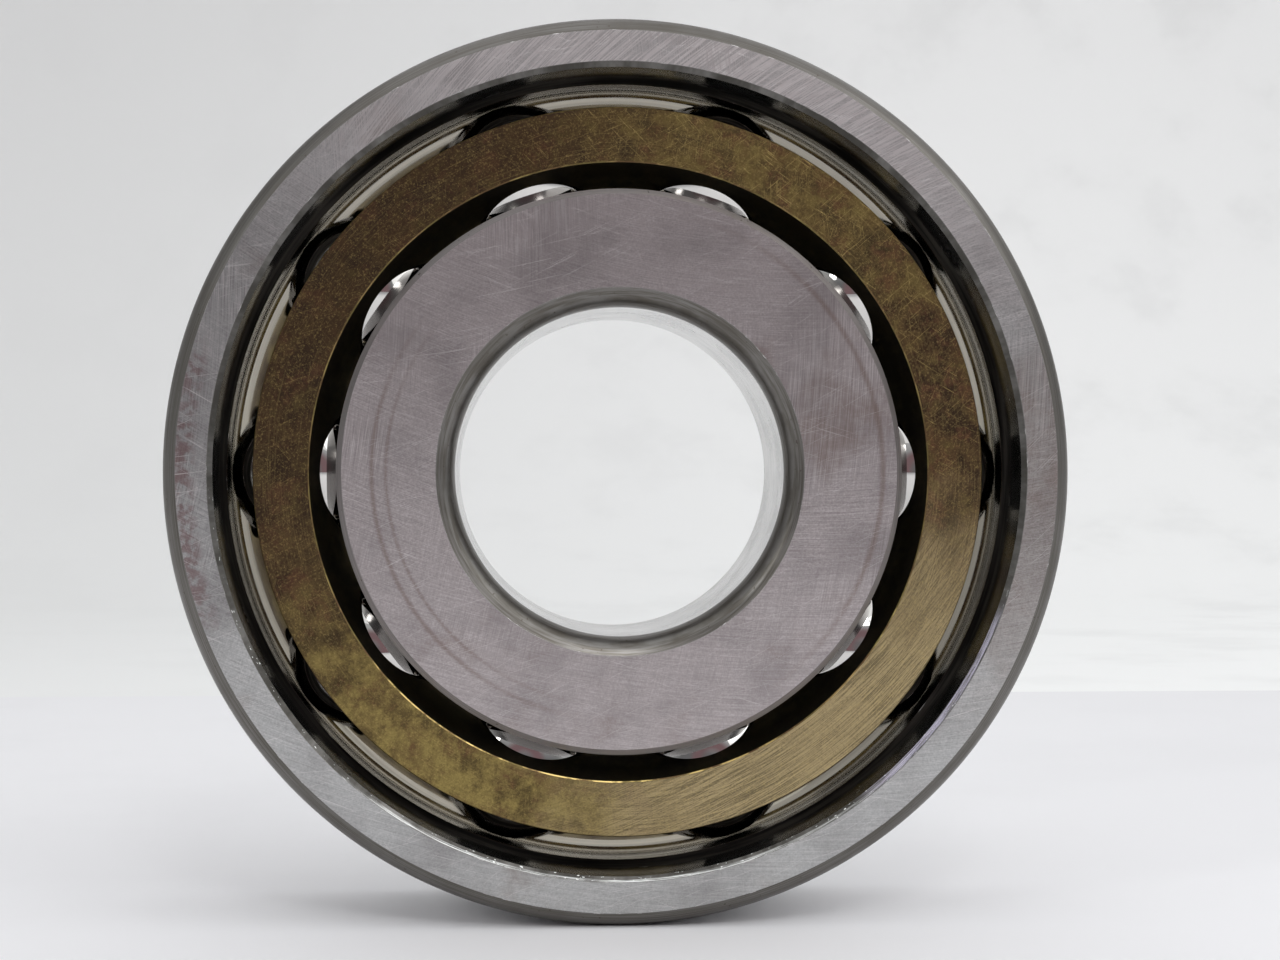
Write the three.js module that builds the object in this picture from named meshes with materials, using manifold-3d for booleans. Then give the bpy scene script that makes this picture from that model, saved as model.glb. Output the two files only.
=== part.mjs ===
// Single-row angular contact ball bearing, taken apart into its real pieces: outer ring,
// inner ring, one-piece brass cage and ten balls.
// Millimetres. The bearing axis is +Y and the origin is the middle of the bore, at mid-width.
// The front (-Y) shows the counterbored face of the outer ring and the high shoulder of the
// inner ring. The back (+Y) shows the high shoulder of the outer ring and the low shoulder of
// the inner ring.

import * as THREE from 'three';
import { mergeVertices } from 'three/addons/utils/BufferGeometryUtils.js';
import Module from 'manifold-3d';

const wasm = await Module();
wasm.setup();

// Boundary dimensions.
const BORE_DIAMETER = 40;
const OUTSIDE_DIAMETER = 110;
const WIDTH = 27;

// Rolling elements.
const BALL_COUNT = 10;
const BALL_DIAMETER = 20;
const PITCH_DIAMETER = 76;
const CONTACT_ANGLE = THREE.MathUtils.degToRad(40);
const GROOVE_CONFORMITY = 0.52; // groove radius over ball diameter
const RACEWAY_PLAY = 0.15; // gap between a ball and each raceway, along the contact line

// Outer ring.
const OUTER_CORNER_RADIAL = 1.8;
const OUTER_CORNER_AXIAL = 2;
const LAND_RADIUS = 48.15; // just less than the raceway's depth, so that it keeps the balls in
const LAND_FRONT = -4.9; // axial place of the land's front edge
const COUNTERBORE_RADIUS = 48.85;
const COUNTERBORE_BACK = -6.7; // axial place of the counterbore's back edge
const COUNTERBORE_EDGE_BREAK = 0.6;
const OUTER_SHOULDER_RADIUS = 42; // high shoulder, at the back

// Inner ring.
const BORE_CORNER_RADIAL = 2.2;
const BORE_CORNER_AXIAL = 2.2;
const INNER_SHOULDER_RADIUS = 34.2; // high shoulder, at the front
const INNER_LOW_SHOULDER_RADIUS = 30; // at the back
const SHOULDER_CORNER = 0.7; // edge break on every shoulder

// Cage: a thick front ring outside the pitch circle, and a slim rear ring inside it.
const CAGE_FRONT_RECESS = 1.2; // the cage faces lie this far behind the ring faces
const CAGE_REAR_RECESS = 1.9;
const CAGE_FRONT_OUTER_RADIUS = 44.15;
const CAGE_FRONT_INNER_RADIUS = 37.5;
const CAGE_MIDDLE_INNER_RADIUS = 34.6;
const CAGE_REAR_OUTER_RADIUS = 34.9;
const CAGE_REAR_INNER_RADIUS = 33.2;
const CAGE_CONE_ANGLE = THREE.MathUtils.degToRad(30); // both cones inside
const CAGE_TAPER_START = 5.6; // axial place where the outside starts to narrow
const CAGE_EDGE_BREAK = 0.2;
const POCKET_PLAY = 0.3; // gap between a ball and its pocket, on the radius

// Facets.
const RING_SEGMENTS = 60;
const POCKET_SEGMENTS = 32;
const GROOVE_STEPS = 9;
const BALL_DETAIL = 3; // cuts along each edge of the icosahedron a ball starts from
const MERGE_DISTANCE = 1e-4; // vertices closer than this are one vertex

const HALF_WIDTH = WIDTH / 2;
const BORE_RADIUS = BORE_DIAMETER / 2;
const OUTSIDE_RADIUS = OUTSIDE_DIAMETER / 2;
const BALL_RADIUS = BALL_DIAMETER / 2;
const PITCH_RADIUS = PITCH_DIAMETER / 2;
const GROOVE_RADIUS = GROOVE_CONFORMITY * BALL_DIAMETER;

// The groove centres lie off the ball centre, along the contact line: the outer one towards
// the axis and the front, the inner one away from the axis and towards the back.
const GROOVE_OFFSET = GROOVE_RADIUS - BALL_RADIUS - RACEWAY_PLAY;
const GROOVE_OFFSET_RADIAL = GROOVE_OFFSET * Math.cos(CONTACT_ANGLE);
const GROOVE_OFFSET_AXIAL = GROOVE_OFFSET * Math.sin(CONTACT_ANGLE);

const point = (radius, axial) => new THREE.Vector2(radius, axial);

// Points of a groove arc between two angles, measured from the outward radial direction
// towards +Y, about a centre given by its radius and axial place.
function grooveArc(centreRadius, centreAxial, fromAngle, toAngle) {
  const points = [];
  for (let step = 0; step <= GROOVE_STEPS; step += 1) {
    const angle = THREE.MathUtils.lerp(fromAngle, toAngle, step / GROOVE_STEPS);
    const radius = centreRadius + GROOVE_RADIUS * Math.cos(angle);
    const axial = centreAxial + GROOVE_RADIUS * Math.sin(angle);
    points.push(point(radius, axial));
  }
  return points;
}

// Turns a closed profile about the bearing axis. The facets' middles lie on the true radii,
// and one facet faces straight down.
function turned(profile) {
  const spread = 1 / Math.cos(Math.PI / RING_SEGMENTS);
  const closed = [...profile, profile[0]].map((p) => point(p.x * spread, p.y));
  return new THREE.LatheGeometry(closed, RING_SEGMENTS, Math.PI / RING_SEGMENTS);
}

function outerRingGeometry() {
  const centreRadius = PITCH_RADIUS - GROOVE_OFFSET_RADIAL;
  const centreAxial = -GROOVE_OFFSET_AXIAL;
  const landAngle = -Math.acos((LAND_RADIUS - centreRadius) / GROOVE_RADIUS);
  const shoulderAngle = Math.acos((OUTER_SHOULDER_RADIUS - centreRadius) / GROOVE_RADIUS);
  return turned([
    point(COUNTERBORE_RADIUS + COUNTERBORE_EDGE_BREAK, -HALF_WIDTH),
    point(OUTSIDE_RADIUS - OUTER_CORNER_RADIAL, -HALF_WIDTH),
    point(OUTSIDE_RADIUS, -HALF_WIDTH + OUTER_CORNER_AXIAL),
    point(OUTSIDE_RADIUS, HALF_WIDTH - OUTER_CORNER_AXIAL),
    point(OUTSIDE_RADIUS - OUTER_CORNER_RADIAL, HALF_WIDTH),
    point(OUTER_SHOULDER_RADIUS + SHOULDER_CORNER, HALF_WIDTH),
    point(OUTER_SHOULDER_RADIUS, HALF_WIDTH - SHOULDER_CORNER),
    ...grooveArc(centreRadius, centreAxial, shoulderAngle, landAngle),
    point(LAND_RADIUS, LAND_FRONT),
    point(COUNTERBORE_RADIUS, COUNTERBORE_BACK),
    point(COUNTERBORE_RADIUS, -HALF_WIDTH + COUNTERBORE_EDGE_BREAK),
  ]);
}

function innerRingGeometry() {
  const centreRadius = PITCH_RADIUS + GROOVE_OFFSET_RADIAL;
  const centreAxial = GROOVE_OFFSET_AXIAL;
  const highAngle = Math.PI + Math.acos((centreRadius - INNER_SHOULDER_RADIUS) / GROOVE_RADIUS);
  const lowAngle = Math.PI - Math.acos((centreRadius - INNER_LOW_SHOULDER_RADIUS) / GROOVE_RADIUS);
  return turned([
    point(BORE_RADIUS + BORE_CORNER_RADIAL, -HALF_WIDTH),
    point(INNER_SHOULDER_RADIUS - SHOULDER_CORNER, -HALF_WIDTH),
    point(INNER_SHOULDER_RADIUS, -HALF_WIDTH + SHOULDER_CORNER),
    ...grooveArc(centreRadius, centreAxial, highAngle, lowAngle),
    point(INNER_LOW_SHOULDER_RADIUS, HALF_WIDTH - SHOULDER_CORNER),
    point(INNER_LOW_SHOULDER_RADIUS - SHOULDER_CORNER, HALF_WIDTH),
    point(BORE_RADIUS + BORE_CORNER_RADIAL, HALF_WIDTH),
    point(BORE_RADIUS, HALF_WIDTH - BORE_CORNER_AXIAL),
    point(BORE_RADIUS, -HALF_WIDTH + BORE_CORNER_AXIAL),
  ]);
}

// The outside is straight and then narrows to the back. The inside cones in from the front
// edge, runs straight, and cones in again to the back.
function cageBlankGeometry() {
  const front = -HALF_WIDTH + CAGE_FRONT_RECESS;
  const back = HALF_WIDTH - CAGE_REAR_RECESS;
  const slope = Math.tan(CAGE_CONE_ANGLE);
  const frontConeLength = (CAGE_FRONT_INNER_RADIUS - CAGE_MIDDLE_INNER_RADIUS) / slope;
  const rearConeLength = (CAGE_MIDDLE_INNER_RADIUS - CAGE_REAR_INNER_RADIUS) / slope;
  return turned([
    point(CAGE_FRONT_INNER_RADIUS, front),
    point(CAGE_FRONT_OUTER_RADIUS - CAGE_EDGE_BREAK, front),
    point(CAGE_FRONT_OUTER_RADIUS, front + CAGE_EDGE_BREAK),
    point(CAGE_FRONT_OUTER_RADIUS, CAGE_TAPER_START),
    point(CAGE_REAR_OUTER_RADIUS, back),
    point(CAGE_REAR_INNER_RADIUS, back),
    point(CAGE_MIDDLE_INNER_RADIUS, back - rearConeLength),
    point(CAGE_MIDDLE_INNER_RADIUS, front + frontConeLength),
  ]);
}

// A closed body for the boolean cuts, from a geometry whose vertices are merged.
function toManifold(geometry) {
  const bare = geometry.clone();
  bare.deleteAttribute('normal');
  bare.deleteAttribute('uv');
  const merged = mergeVertices(bare, MERGE_DISTANCE);
  const vertProperties = new Float32Array(merged.attributes.position.array);
  const triVerts = new Uint32Array(merged.index.array);
  return new wasm.Manifold(new wasm.Mesh({ numProp: 3, vertProperties, triVerts }));
}

function toGeometry(manifold) {
  const mesh = manifold.getMesh();
  const geometry = new THREE.BufferGeometry();
  geometry.setAttribute('position', new THREE.BufferAttribute(mesh.vertProperties, 3));
  geometry.setIndex(new THREE.BufferAttribute(mesh.triVerts, 1));
  geometry.computeVertexNormals();
  return geometry;
}

// Ball azimuths are measured about the axis from straight up, towards +X. The gap between two
// balls is straight up, so two balls share the load at the bottom.
const ballAzimuth = (index) => (2 * Math.PI * (index + 0.5)) / BALL_COUNT;
const outward = (azimuth) => new THREE.Vector3(Math.sin(azimuth), 0, Math.cos(azimuth));

// A radial pocket runs right through the cage wall.
function pocketGeometry(azimuth) {
  const radius = (BALL_RADIUS + POCKET_PLAY) / Math.cos(Math.PI / POCKET_SEGMENTS);
  const pocket = new THREE.CylinderGeometry(radius, radius, BALL_DIAMETER, POCKET_SEGMENTS);
  const turn = new THREE.Quaternion();
  turn.setFromUnitVectors(new THREE.Vector3(0, 1, 0), outward(azimuth));
  pocket.applyQuaternion(turn);
  const centre = outward(azimuth).multiplyScalar(PITCH_RADIUS);
  pocket.translate(centre.x, centre.y, centre.z);
  return pocket;
}

function cageGeometry() {
  let body = toManifold(cageBlankGeometry());
  for (let index = 0; index < BALL_COUNT; index += 1) {
    body = body.subtract(toManifold(pocketGeometry(ballAzimuth(index))));
  }
  return toGeometry(body);
}

const ringSteel = () => new THREE.MeshStandardMaterial({
  color: 0x9a9796,
  roughness: 0.35,
  metalness: 1,
  flatShading: true,
});

const ballSteel = () => new THREE.MeshStandardMaterial({
  color: 0xc8c8ca,
  roughness: 0.08,
  metalness: 1,
  flatShading: true,
});

const brass = () => new THREE.MeshStandardMaterial({
  color: 0x7f6b46,
  roughness: 0.45,
  metalness: 1,
  flatShading: true,
});

function addPiece(group, name, geometry, material) {
  const mesh = new THREE.Mesh(geometry, material);
  mesh.name = name;
  group.add(mesh);
  return mesh;
}

const bearing = new THREE.Group();
addPiece(bearing, 'outer_ring', outerRingGeometry(), ringSteel());
addPiece(bearing, 'inner_ring', innerRingGeometry(), ringSteel());
addPiece(bearing, 'cage', cageGeometry(), brass());
for (let index = 0; index < BALL_COUNT; index += 1) {
  const name = `ball_${String(index + 1).padStart(2, '0')}`;
  const geometry = new THREE.IcosahedronGeometry(BALL_RADIUS, BALL_DETAIL);
  const ball = addPiece(bearing, name, geometry, ballSteel());
  ball.position.copy(outward(ballAzimuth(index)).multiplyScalar(PITCH_RADIUS));
}

export default bearing;
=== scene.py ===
import math

import bmesh
import bpy
from mathutils import Matrix, Vector


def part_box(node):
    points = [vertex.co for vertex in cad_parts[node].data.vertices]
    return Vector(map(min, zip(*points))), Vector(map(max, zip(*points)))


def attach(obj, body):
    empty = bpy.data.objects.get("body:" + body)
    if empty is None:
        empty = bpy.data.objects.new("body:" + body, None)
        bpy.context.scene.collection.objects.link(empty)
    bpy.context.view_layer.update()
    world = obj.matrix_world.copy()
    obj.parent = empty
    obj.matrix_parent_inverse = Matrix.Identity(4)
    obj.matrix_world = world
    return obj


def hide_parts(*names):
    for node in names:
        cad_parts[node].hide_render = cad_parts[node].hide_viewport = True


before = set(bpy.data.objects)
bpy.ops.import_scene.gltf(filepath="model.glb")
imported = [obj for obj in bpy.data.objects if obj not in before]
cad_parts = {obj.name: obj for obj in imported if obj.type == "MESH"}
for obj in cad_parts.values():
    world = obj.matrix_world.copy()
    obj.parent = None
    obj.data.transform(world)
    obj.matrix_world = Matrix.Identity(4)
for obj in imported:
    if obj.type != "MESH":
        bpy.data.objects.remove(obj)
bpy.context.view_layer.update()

# Single-row angular contact ball bearing standing on its rim on a pale sheet.
# Lengths in the outlines are millimetres, turned into metres when a mesh is made.
# The bearing axis is +Y and the front faces -Y.
MM = 0.001
BALL_COUNT = 10

outer_low, outer_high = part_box("outer_ring")
inner_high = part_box("inner_ring")[1]
cage_low, cage_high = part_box("cage")

OUTSIDE_RADIUS = outer_high.x / MM
HALF_WIDTH = outer_high.y / MM
INNER_SHOULDER_RADIUS = inner_high.x / MM
CAGE_FRONT_OUTER_RADIUS = cage_high.x / MM
CAGE_FRONT = cage_low.y / MM
CAGE_BACK = cage_high.y / MM


def ball_place(index):
    """Centre and radius of a ball, in metres."""
    low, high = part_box(f"ball_{index + 1:02d}")
    return (low + high) / 2, (high.y - low.y) / 2


PITCH_RADIUS = ball_place(0)[0].length / MM
BALL_RADIUS = ball_place(0)[1] / MM

# Raceways.
CONTACT_ANGLE = math.radians(40)
GROOVE_CONFORMITY = 0.52  # groove radius over ball diameter
GROOVE_RADIUS = GROOVE_CONFORMITY * 2 * BALL_RADIUS
RACEWAY_PLAY = 0.15  # gap between a ball and each raceway, along the contact line
GROOVE_OFFSET = GROOVE_RADIUS - BALL_RADIUS - RACEWAY_PLAY
GROOVE_OFFSET_RADIAL = GROOVE_OFFSET * math.cos(CONTACT_ANGLE)
GROOVE_OFFSET_AXIAL = GROOVE_OFFSET * math.sin(CONTACT_ANGLE)

# Rings.
CORNER_START = 1.8  # radial width of the corners beside the outside
CORNER_CURVE = 2.8  # radius of the corners beside the outside and beside the bore
BORE_RADIUS = 20
BORE_CORNER = 2.25  # radial width of the corners beside the bore
LAND_RADIUS = 48.15  # the retaining land in front of the outer raceway
LAND_FRONT = -4.9
COUNTERBORE_RADIUS = 48.85
COUNTERBORE_BACK = -6.7
COUNTERBORE_EDGE = 0.6
OUTER_SHOULDER_RADIUS = 42
INNER_LOW_SHOULDER_RADIUS = 30
SHOULDER_CORNER = 0.7
GLINT = 0.06  # width of the line along a ground edge
GLINT_DEPTH = 0.036  # how far that line drops behind the face where a corner begins

# Cage.
CAGE_FRONT_INNER_RADIUS = 37.5
CAGE_MIDDLE_INNER_RADIUS = 34.6
CAGE_REAR_OUTER_RADIUS = 34.9
CAGE_REAR_INNER_RADIUS = 33.2
CAGE_CONE_ANGLE = math.radians(30)
CAGE_TAPER_START = 5.6
CAGE_EDGE = 0.1
CAGE_TAPER_EDGE = 0.06  # axial width of the edge where the taper meets the rear face
CAGE_REAR_EDGE = 0.04  # where the edge inside the rear ring ends, out from its inner radius
POCKET_PLAY = 0.25
POCKET_RADIUS = BALL_RADIUS + POCKET_PLAY
POCKET_INNER_END = 33  # where each pocket drill starts and ends, from the bearing axis
POCKET_OUTER_END = 48

RING_SEGMENTS = 288
POCKET_SEGMENTS = 96
GROOVE_STEPS = 48
CORNER_STEPS = 8
BALL_SUBDIVISIONS = 5
SHARP_ANGLE = math.radians(22)
EDGE_HOLD = 0.05  # how near a run's end its extra point lies
CORNER_HOLD = 0.2  # the same on a shoulder's corner
LONGEST_HOLD = 0.25  # share of a run's length


# ---------------------------------------------------------------- outlines and meshes

def arc(centre, radius, start, end, steps):
    """Points (radius, axial) of an arc; angles run from the outward radial direction to +Y."""
    points = []
    for step in range(steps + 1):
        angle = start + (end - start) * step / steps
        points.append((centre[0] + radius * math.cos(angle), centre[1] + radius * math.sin(angle)))
    return points


def straight(start, end, hold=EDGE_HOLD):
    """A straight run with an extra point near each end, so that smooth shading stays flat."""
    length = math.dist(start, end)
    share = min(LONGEST_HOLD, hold / length)
    near = [start[i] + (end[i] - start[i]) * share for i in (0, 1)]
    far = [end[i] + (start[i] - end[i]) * share for i in (0, 1)]
    return [start, tuple(near), tuple(far), end]


def corner_curve(face_radius, side_radius, face, curve):
    """The rounded corner from a ring face to its cylindrical side: it leaves the face with a
    crisp edge and runs smoothly into the side. face is the axial place, with its sign."""
    away = 1 if side_radius > face_radius else -1
    centre_radius = side_radius - away * curve
    reach = abs(face_radius - centre_radius)
    depth = math.sqrt(curve ** 2 - reach ** 2)
    toward = 1 if face > 0 else -1
    centre = (centre_radius, face - toward * depth)
    start = math.atan2(toward * depth, away * reach)
    end = 0 if away > 0 else toward * math.pi
    return arc(centre, curve, start, end, CORNER_STEPS)


def outer_ring_outline():
    centre = (PITCH_RADIUS - GROOVE_OFFSET_RADIAL, -GROOVE_OFFSET_AXIAL)
    lip = -math.acos((LAND_RADIUS - centre[0]) / GROOVE_RADIUS)
    high = math.acos((OUTER_SHOULDER_RADIUS - centre[0]) / GROOVE_RADIUS)
    face_edge = OUTSIDE_RADIUS - CORNER_START
    front_corner = corner_curve(face_edge + GLINT, OUTSIDE_RADIUS, -HALF_WIDTH, CORNER_CURVE)
    back_corner = corner_curve(face_edge + GLINT, OUTSIDE_RADIUS, HALF_WIDTH, CORNER_CURVE)
    front_corner = [(r, y + GLINT_DEPTH) for r, y in front_corner]
    back_corner = [(r, y - GLINT_DEPTH) for r, y in back_corner]
    raceway = arc(centre, GROOVE_RADIUS, high, lip, GROOVE_STEPS)
    front_inner = COUNTERBORE_RADIUS + COUNTERBORE_EDGE
    land_lip = (LAND_RADIUS, LAND_FRONT)
    land_lip_side = (LAND_RADIUS + GLINT, LAND_FRONT - GLINT)
    counterbore_back = (COUNTERBORE_RADIUS, COUNTERBORE_BACK)
    counterbore_front = (COUNTERBORE_RADIUS, -HALF_WIDTH + COUNTERBORE_EDGE)
    shoulder_side = (OUTER_SHOULDER_RADIUS, HALF_WIDTH - SHOULDER_CORNER)
    shoulder_edge = (OUTER_SHOULDER_RADIUS + SHOULDER_CORNER, HALF_WIDTH)
    return [
        ("face", straight((front_inner + GLINT, -HALF_WIDTH), (face_edge, -HALF_WIDTH))),
        ("glint", [(face_edge, -HALF_WIDTH), front_corner[0]]),
        ("corner", front_corner),
        ("outside", straight(front_corner[-1], back_corner[-1])),
        ("corner", back_corner[::-1]),
        ("glint", [back_corner[0], (face_edge, HALF_WIDTH)]),
        ("face", straight((face_edge, HALF_WIDTH), shoulder_edge)),
        ("corner", straight(shoulder_edge, shoulder_side)),
        ("bore", straight(shoulder_side, raceway[0])),
        ("raceway", raceway),
        ("land", straight(raceway[-1], land_lip)),
        ("lip", [land_lip, land_lip_side]),
        ("relief", straight(land_lip_side, counterbore_back)),
        ("counterbore", straight(counterbore_back, counterbore_front)),
        ("rim", straight(counterbore_front, (front_inner, -HALF_WIDTH + GLINT))),
        ("glint", [(front_inner, -HALF_WIDTH + GLINT), (front_inner + GLINT, -HALF_WIDTH)]),
    ]


def inner_ring_outline():
    centre = (PITCH_RADIUS + GROOVE_OFFSET_RADIAL, GROOVE_OFFSET_AXIAL)
    high = math.pi + math.acos((centre[0] - INNER_SHOULDER_RADIUS) / GROOVE_RADIUS)
    low = math.pi - math.acos((centre[0] - INNER_LOW_SHOULDER_RADIUS) / GROOVE_RADIUS)
    raceway = arc(centre, GROOVE_RADIUS, high, low, GROOVE_STEPS)
    bore_edge = BORE_RADIUS + BORE_CORNER
    front_corner = corner_curve(bore_edge - GLINT, BORE_RADIUS, -HALF_WIDTH, CORNER_CURVE)
    back_corner = corner_curve(bore_edge - GLINT, BORE_RADIUS, HALF_WIDTH, CORNER_CURVE)
    front_corner = [(r, y + GLINT_DEPTH) for r, y in front_corner]
    back_corner = [(r, y - GLINT_DEPTH) for r, y in back_corner]
    shoulder_edge = (INNER_SHOULDER_RADIUS - SHOULDER_CORNER, -HALF_WIDTH)
    shoulder_side = (INNER_SHOULDER_RADIUS, -HALF_WIDTH + SHOULDER_CORNER)
    low_side = (INNER_LOW_SHOULDER_RADIUS, HALF_WIDTH - SHOULDER_CORNER)
    low_edge = (INNER_LOW_SHOULDER_RADIUS - SHOULDER_CORNER, HALF_WIDTH)
    return [
        ("inner_face", straight((bore_edge, -HALF_WIDTH), shoulder_edge)),
        ("rounded", straight(shoulder_edge, shoulder_side, CORNER_HOLD)),
        ("shoulder", straight(shoulder_side, raceway[0])),
        ("raceway", raceway),
        ("shoulder", straight(raceway[-1], low_side)),
        ("rounded", straight(low_side, low_edge, CORNER_HOLD)),
        ("inner_face", straight(low_edge, (bore_edge, HALF_WIDTH))),
        ("glint", [(bore_edge, HALF_WIDTH), back_corner[0]]),
        ("corner", back_corner),
        ("bore", straight(back_corner[-1], front_corner[-1])),
        ("corner", front_corner[::-1]),
        ("glint", [front_corner[0], (bore_edge, -HALF_WIDTH)]),
    ]


def cage_outline():
    """Straight outside, then a steep taper to the slim rear ring; inside, a cone in from the
    front edge, a straight run and a second cone at the back."""
    slope = math.tan(CAGE_CONE_ANGLE)
    cone_end = CAGE_FRONT + (CAGE_FRONT_INNER_RADIUS - CAGE_MIDDLE_INNER_RADIUS) / slope
    cone_start = CAGE_BACK - (CAGE_MIDDLE_INNER_RADIUS - CAGE_REAR_INNER_RADIUS) / slope
    front_inner = (CAGE_FRONT_INNER_RADIUS + CAGE_EDGE, CAGE_FRONT)
    front_outer = (CAGE_FRONT_OUTER_RADIUS - CAGE_EDGE, CAGE_FRONT)
    side_front = (CAGE_FRONT_OUTER_RADIUS, CAGE_FRONT + CAGE_EDGE)
    side_back = (CAGE_FRONT_OUTER_RADIUS, CAGE_TAPER_START)
    taper_end = (CAGE_REAR_OUTER_RADIUS + CAGE_EDGE, CAGE_BACK - CAGE_TAPER_EDGE)
    rear_outer = (CAGE_REAR_OUTER_RADIUS - CAGE_EDGE, CAGE_BACK)
    rear_inner = (CAGE_REAR_INNER_RADIUS + CAGE_EDGE, CAGE_BACK)
    inside_rear = (CAGE_REAR_INNER_RADIUS + CAGE_REAR_EDGE, CAGE_BACK - CAGE_EDGE)
    inside_back = (CAGE_MIDDLE_INNER_RADIUS, cone_start)
    inside_front = (CAGE_MIDDLE_INNER_RADIUS, cone_end)
    cone_front = (CAGE_FRONT_INNER_RADIUS - CAGE_EDGE * math.sin(CAGE_CONE_ANGLE),
                  CAGE_FRONT + CAGE_EDGE * math.cos(CAGE_CONE_ANGLE))
    return [
        ("brass_face", straight(front_inner, front_outer)),
        ("brass_edge", [front_outer, side_front]),
        ("brass_side", straight(side_front, side_back)),
        ("brass_taper", straight(side_back, taper_end)),
        ("brass_edge", [taper_end, rear_outer]),
        ("brass_back", straight(rear_outer, rear_inner)),
        ("brass_edge", [rear_inner, inside_rear]),
        ("brass_inside", straight(inside_rear, inside_back)),
        ("brass_inside", straight(inside_back, inside_front)),
        ("brass_inside", straight(inside_front, cone_front)),
        ("brass_rim", [cone_front, front_inner]),
    ]


def turned(name, outline, segments):
    """Turns a closed outline about +Y. Each run of the outline keeps its own material."""
    points = []
    kinds = []
    for kind, run in outline:
        for radius, axial in run[:-1]:
            points.append((radius, axial))
            kinds.append(kind)
    names = sorted(set(kinds))
    vertices = []
    for segment in range(segments):
        angle = 2 * math.pi * segment / segments
        for radius, axial in points:
            place = (radius * math.sin(angle), axial, radius * math.cos(angle))
            vertices.append([value * MM for value in place])
    count = len(points)
    faces = []
    for segment in range(segments):
        here = segment * count
        there = (segment + 1) % segments * count
        for i in range(count):
            after = (i + 1) % count
            faces.append((here + i, here + after, there + after, there + i))
    mesh = bpy.data.meshes.new(name)
    mesh.from_pydata(vertices, [], faces)
    for kind in names:
        mesh.materials.append(MATERIALS[kind])
    slots = [names.index(kind) for kind in kinds] * segments
    mesh.polygons.foreach_set("material_index", slots)
    outward_faces(mesh)
    return bpy.data.objects.new(name, mesh)


def outward_faces(mesh):
    work = bmesh.new()
    work.from_mesh(mesh)
    bmesh.ops.recalc_face_normals(work, faces=work.faces)
    work.to_mesh(mesh)
    work.free()


def smooth(obj, angle=SHARP_ANGLE):
    obj.data.polygons.foreach_set("use_smooth", [True] * len(obj.data.polygons))
    obj.data.set_sharp_from_angle(angle=angle)


def place(obj, body, node, slot):
    """Shows obj in place of a CAD node, riding on that node's body."""
    bpy.context.scene.collection.objects.link(obj)
    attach(obj, body)
    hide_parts(node)


# ---------------------------------------------------------------- material tools

WANDER_SIZE = 7  # size of the waves in a sector's edge
BEND_SIZE = 45  # distance over which scratches drift
SCRATCH_FADE = 0.04  # how quickly a scratch fades at its sides


def srgb(red, green, blue):
    """A colour given as 0-255 screen values."""
    linear = [((v / 255 + 0.055) / 1.055) ** 2.4 for v in (red, green, blue)]
    return (*linear, 1)


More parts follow.
